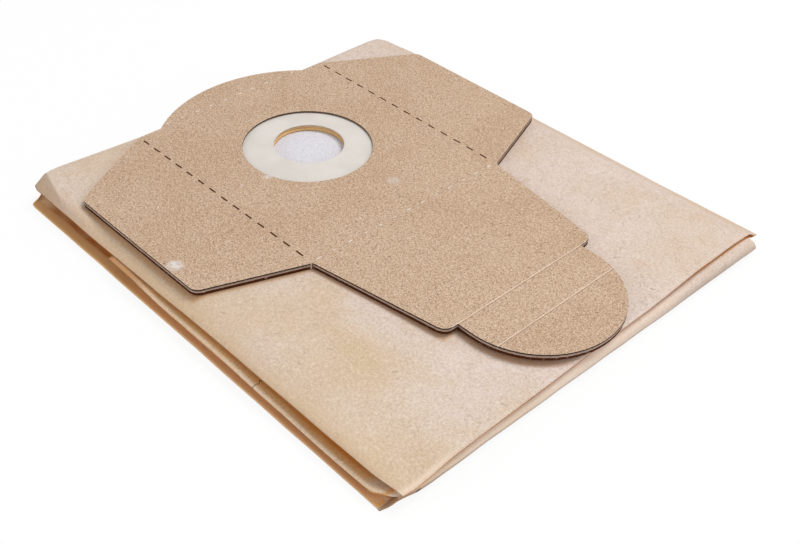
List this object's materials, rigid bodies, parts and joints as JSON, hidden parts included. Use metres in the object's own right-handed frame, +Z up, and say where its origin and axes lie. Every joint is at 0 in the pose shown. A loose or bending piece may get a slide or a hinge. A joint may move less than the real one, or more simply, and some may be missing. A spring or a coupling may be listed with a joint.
{
  "type": "vacuum dust bag",
  "caption": "Paper dust bag for a vacuum cleaner, folded flat, with a perforated cardboard collar and a soft sealing ring round its inlet.",
  "frame": {"origin": "middle of the outline's box, on the ground that the folded bag lies on", "axes": "+X from the collar's round cap to its tongue, +Y across the wings, +Z up out of the inlet"},
  "size_m": [0.2933, 0.2643, 0.0185],
  "materials": {
    "board": "matte",
    "seal": "satin",
    "paper": "satin",
    "fleece": "matte"
  },
  "bodies": {
    "root": {"collar_top_board": "board", "collar_bottom_board": "board", "sealing_ring": "seal", "paper_bag": "paper", "inner_ply": "fleece"}
  },
  "joints": []
}
